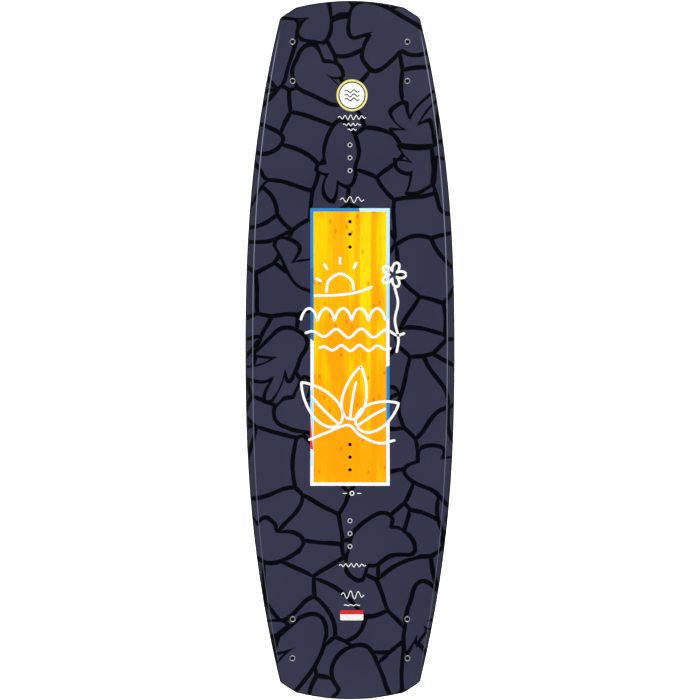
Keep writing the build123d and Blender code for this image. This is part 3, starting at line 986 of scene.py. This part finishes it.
# Rows of waves in millimetres, as (left, right, z, height, count)
SMALL_DECK_WAVES = [
    (-24, 32, 464, 4.5, 5),
    (-14, 22, 450, 2.6, 4),
    (-5, 13, 440, 1.8, 2),
    (-20, 28, 302, 6, 3),
    (-15, -6, -288, 0.0, 2),
    (14, 23, -288, 0.0, 2),
    (-22, 32, -430, 3.4, 5),
    (-18, 28, -488, 8, 3),
    (-12, 20, -508, 1.2, 3),
]
DRAWN_WAVES = [(-92, 112, 34, 9, 4), (-64, 84, 4, 6, 4)]
DRAWN_ARCHES = (-100, 72, 60, 24, 5)


def make_badge(name, centre, radii, waves, lay, level, inks):
    """A disc in a dark ring and an outer ring, with three plain waves on it.

    The radii are the disc's, the dark ring's and the outer ring's. The waves are given as (half their length,
    the step from one to the next, their height, the width of the stroke).
    """
    inner, middle, outer = radii
    half, step, height, width = waves
    disc_ink, outer_ink, dark_ink = inks
    make_piece(name, [disc(centre, inner, lay, level)], disc_ink)
    make_piece(name + "_rim", [ring(centre, middle, outer, lay, level)], outer_ink)
    marks = []
    for lift in (-step, 0, step):
        path = wave(centre[0] - half, centre[0] + half, centre[1] + lift, height, 2)
        marks.append(stroke(path, width, lay, level + 1))
    marks.append(ring(centre, inner, middle, lay, level))
    make_piece(name + "_waves", marks, dark_ink)


def make_label(name, centre, size, band, corners, lay, vinyls):
    """A label with no words: a pale sticker, and a red band along its top."""
    width, height = size
    band_centre = (centre[0], centre[1] + (height - band) / 2)
    make_piece(name, [plate(centre, width, height, corners[0], lay)], vinyls[0])
    make_piece(name + "_band", [plate(band_centre, width, band, corners[1], lay, level=1)], vinyls[1])


class OBJECT_OT_print_deck_marks(bpy.types.Operator):
    """Print the drawing, the badge and the small marks on the deck"""

    bl_idname = "wakeboard.print_deck_marks"
    bl_label = "Print the deck's marks"

    def execute(self, context):
        settings = context.scene.wakeboard_marks
        white = ink_material("white_screen_ink", "#EDEDE6", "#FFFFFF")
        paths = [smooth_path(points) for points in [*SUN_STROKES, STEM, STALK]]
        paths.append(rose((88 * MM, 152 * MM), 25 * MM, settings.petals))
        paths += [leaf(*points) for points in LEAVES]
        paths += [midrib(*points) for points in LEAVES]
        paths += [scallops(*DRAWN_ARCHES), *(wave_row(*row) for row in DRAWN_WAVES)]
        drawing = [stroke(path, settings.pen_width, on_deck, level=1) for path in paths]
        make_piece("deck_drawing", drawing, white)
        gold = ink_material("gold_screen_ink", "#D8C860", "#F2E8A0", 0.35)
        dark = ink_material("black_screen_ink", "#0A0A10", "#16161E")
        radius = settings.deck_badge_radius
        make_badge("deck_badge", centre=(4 * MM, 507 * MM), radii=(radius * 0.8, radius * 0.865, radius),
                   waves=(15 * MM, 8 * MM, 3 * MM, 2 * MM), lay=on_deck, level=1,
                   inks=(white, gold, dark))
        marks = [stroke(wave_row(*row), 1.4 * MM, on_deck) for row in SMALL_DECK_WAVES]
        marks.append(ring((4 * MM, -288 * MM), 3 * MM, 4.8 * MM, on_deck))
        make_piece("deck_small_marks", marks, white)
        pale = vinyl_material("white_vinyl_label", "#DCD8D4", "#F0ECE8")
        red = vinyl_material("red_vinyl_band", "#C01820", "#D82830")
        make_label("deck_label", centre=(3.5 * MM, -527.5 * MM), size=(46 * MM, 20 * MM), band=8.2 * MM,
                   corners=(1.5 * MM, 0.6 * MM), lay=on_deck, vinyls=(pale, red))
        return {"FINISHED"}


# Pen strokes on the base, as waves and one long stroke, with the width of each
BASE_WAVES = [
    ((-92, 92, -376, 22, 5), 4.6 * MM),
    ((-152, -112, 92, 4, 5), 2.0 * MM),
    ((-148, -118, 78, 2.5, 4), 1.8 * MM),
    ((-140, -126, 68, 1.6, 3), 1.6 * MM),
]
BASE_STROKE = [(-84, -410), (-30, -402), (30, -404), (96, -418)]


class OBJECT_OT_print_base_marks(bpy.types.Operator):
    """Print the badge, the pen flourish and the small marks on the base"""

    bl_idname = "wakeboard.print_base_marks"
    bl_label = "Print the base's marks"

    def execute(self, context):
        slot = "printed_base"
        white = ink_material("base_white_ink", "#F0F0EA", "#FFFFFF")
        cream = ink_material("base_cream_ink", "#F4F0EC", "#FCF8F4")
        dark = ink_material("base_black_ink", "#08080E", "#14141C")
        radius = context.scene.wakeboard_marks.base_badge_radius
        make_badge("base_badge", centre=(-3 * MM, 485 * MM), radii=(radius * 0.88, radius * 0.94, radius),
                   waves=(38 * MM, 20 * MM, 8 * MM, 5 * MM), lay=on_base, level=0,
                   inks=(cream, white, dark))
        flourish = [stroke(wave_row(*row), width, on_base) for row, width in BASE_WAVES]
        flourish.insert(1, stroke(smooth_path(BASE_STROKE), 3.4 * MM, on_base))
        flourish.append(ring((-132 * MM, 104 * MM), 3.2 * MM, 5.2 * MM, on_base))
        make_piece("base_flourish", flourish, white)
        self.stick_label(slot)
        return {"FINISHED"}

    def stick_label(self, slot):
        """A care label, with plain bars in rows where its words would be, and three rings under them."""
        pale = vinyl_material("grey_vinyl_label", "#D2D2D2", "#E2E2E2")
        red = vinyl_material("base_red_band", "#D01018", "#E82028")
        dark = vinyl_material("label_grey_ink", "#505054", "#66666A", 0.4)
        middle_z, width, height, band = -483 * MM, 105 * MM, 92 * MM, 9 * MM
        make_label("base_label", centre=(0.0, middle_z), size=(width, height), band=band,
                   corners=(1.5 * MM, 1 * MM), lay=on_base, vinyls=(pale, red))
        top = middle_z + height / 2
        rows, first, pitch = 14, 6 * MM, 4.3 * MM
        bars = []
        for row in range(rows):
            length = width * (0.9 - 0.28 * (row * 0.618 % 1) ** 3)
            # The base is seen from behind, so a bar that starts at the left there starts at the far side in x
            middle = (width * 0.45 - length / 2, top - band - first - pitch * row)
            bars.append(plate(middle, length, 2 * MM, 0.4 * MM, on_base, level=1))
        for x in (-14, 0, 14):
            bars.append(ring((x * MM, top - height + 8 * MM), 2.6 * MM, 4.6 * MM, on_base, level=1))
        make_piece("base_label_bars", bars, dark)


class OBJECT_OT_build_studio(bpy.types.Operator):
    """Build the pale studio, with its soft lights and the camera"""

    bl_idname = "wakeboard.build_studio"
    bl_label = "Build the studio"

    def execute(self, context):
        settings = context.scene.wakeboard_studio
        self.make_backdrop(settings)
        self.make_world()
        middle = (CAD_BOX[0] + CAD_BOX[1]) / 2
        # The soft lights stand before and behind the board, above and below it, so no light is mirrored in it
        soft_size, soft_out, soft_up = 1.7, 1.7, 3.0
        side_size, side_out, side_up = 1.6, 3.0, 0.2
        for y in (-1, 1):
            for z in (-1, 1):
                place = (0.0, soft_out * y, soft_up * z)
                self.make_light(f"soft_light_{y}_{z}", place, soft_size, settings.key_power, middle)
        for x in (-1, 1):
            place = (side_out * x, 0.0, side_up)
            self.make_light(f"side_light_{x}", place, side_size, settings.side_power, middle)
        self.make_camera(settings, middle)
        bpy.context.scene.view_settings.view_transform = "Standard"
        return {"FINISHED"}

    def make_backdrop(self, settings):
        """A round floor that turns up into a wall: a flat, a quarter circle and a straight, all about Z."""
        centre, floor, bend, wall = 0.4, 3.2, 1.6, 6.0
        quarter = np.linspace(0, math.pi / 2, 25)
        radius = np.concatenate([[centre, floor], floor + bend * np.sin(quarter[1:]), [floor + bend]])
        height = np.concatenate([[0, 0], bend - bend * np.cos(quarter[1:]), [wall]])
        angle = np.linspace(0, TURN, 96, endpoint=False)
        x, y = radius[:, None] * np.cos(angle), radius[:, None] * np.sin(angle)
        z = np.broadcast_to(height[:, None], x.shape) + CAD_BOX[0].z - 0.5 * MM
        rings = np.stack([x, y, z], -1)
        rows, columns = rings.shape[:2]
        faces = quads(rows, columns) + [list(range(columns))]
        mesh = bpy.data.meshes.new("studio_backdrop")
        mesh.from_pydata(rings.reshape(-1, 3), [], faces)
        mesh.polygons.foreach_set("use_smooth", np.ones(len(faces), bool))
        backdrop = bpy.data.objects.new("studio_backdrop", mesh)
        bpy.context.scene.collection.objects.link(backdrop)
        # Painted studio wall: matt, pale and evenly lit, with a faint roller texture
        material, tree, shader, place = new_material("painted_backdrop")
        noise = put(tree, NOISE, named={"Vector": place, "Scale": 2.0, "Detail": 2.0})
        wall_colour = opaque(settings.backdrop)
        tone = put(tree, MIX, noise.outputs["Fac"], wall_colour, linear("#FFFFFF"), data_type="RGBA")
        connect(tree, tone, shader.inputs["Base Color"])
        connect(tree, tone, shader.inputs["Emission Color"])
        set_shader(shader, Emission_Strength=0.96, Roughness=0.9)
        mesh.materials.append(material)
        # Only the camera sees the wall, so that its brightness doesn't wash out the board
        backdrop.visible_glossy = False
        backdrop.visible_diffuse = False
        backdrop.visible_shadow = False

    def make_world(self):
        world = bpy.data.worlds.new("studio_air")
        world.use_nodes = True
        set_shader(world.node_tree.nodes["Background"], Color=linear("#F4F6FA"), Strength=0.16)
        bpy.context.scene.world = world

    def make_light(self, name, place, size, power, target):
        light = bpy.data.lights.new(name, "AREA")
        light.energy = power
        light.shape = "DISK"
        light.size = size
        lamp = bpy.data.objects.new(name, light)
        bpy.context.scene.collection.objects.link(lamp)
        lamp.location = place
        lamp.visible_camera = False
        lamp.rotation_euler = (target - lamp.location).to_track_quat("-Z", "Y").to_euler()

    def make_camera(self, settings, middle):
        camera = bpy.data.objects.new("camera", bpy.data.cameras.new("camera"))
        bpy.context.scene.collection.objects.link(camera)
        camera.data.lens = settings.lens
        camera.location = (middle.x, middle.y - settings.distance, middle.z)
        camera.rotation_euler = (math.pi / 2, 0, 0)
        bpy.context.scene.camera = camera


class VIEW3D_PT_wakeboard(bpy.types.Panel):
    """The wakeboard's steps and sizes"""

    bl_idname = "VIEW3D_PT_wakeboard"
    bl_label = "Wakeboard"
    bl_space_type = "VIEW_3D"
    bl_region_type = "UI"
    bl_category = "Wakeboard"

    def draw(self, context):
        """A box for each step, with its fields and its buttons."""
        for name, group, operators in STEPS:
            column = self.layout.box().column()
            column.label(text=name)
            settings = getattr(context.scene, group)
            for key in settings.__annotations__:
                column.prop(settings, key)
            for operator in operators:
                column.operator(operator.bl_idname)


SETTINGS = {
    "wakeboard_print": PrintSettings,
    "wakeboard_marks": MarkSettings,
    "wakeboard_fins": FinSettings,
    "wakeboard_studio": StudioSettings,
}
STEPS = [
    ("Finishes", "wakeboard_print", [OBJECT_OT_finish_board]),
    ("Fins", "wakeboard_fins", [OBJECT_OT_make_fins]),
    ("Marks", "wakeboard_marks", [OBJECT_OT_print_deck_marks, OBJECT_OT_print_base_marks]),
    ("Studio", "wakeboard_studio", [OBJECT_OT_build_studio]),
]
OPERATORS = [operator for _, _, operators in STEPS for operator in operators]


def register():
    for cls in [*SETTINGS.values(), *OPERATORS, VIEW3D_PT_wakeboard]:
        bpy.utils.register_class(cls)
    for name, group in SETTINGS.items():
        setattr(bpy.types.Scene, name, PointerProperty(type=group))


def unregister():
    for name in SETTINGS:
        delattr(bpy.types.Scene, name)
    for cls in reversed([*SETTINGS.values(), *OPERATORS, VIEW3D_PT_wakeboard]):
        bpy.utils.unregister_class(cls)


def main():
    register()
    for operator in OPERATORS:
        category, name = operator.bl_idname.split(".")
        getattr(getattr(bpy.ops, category), name)()


if __name__ == "__main__":
    main()
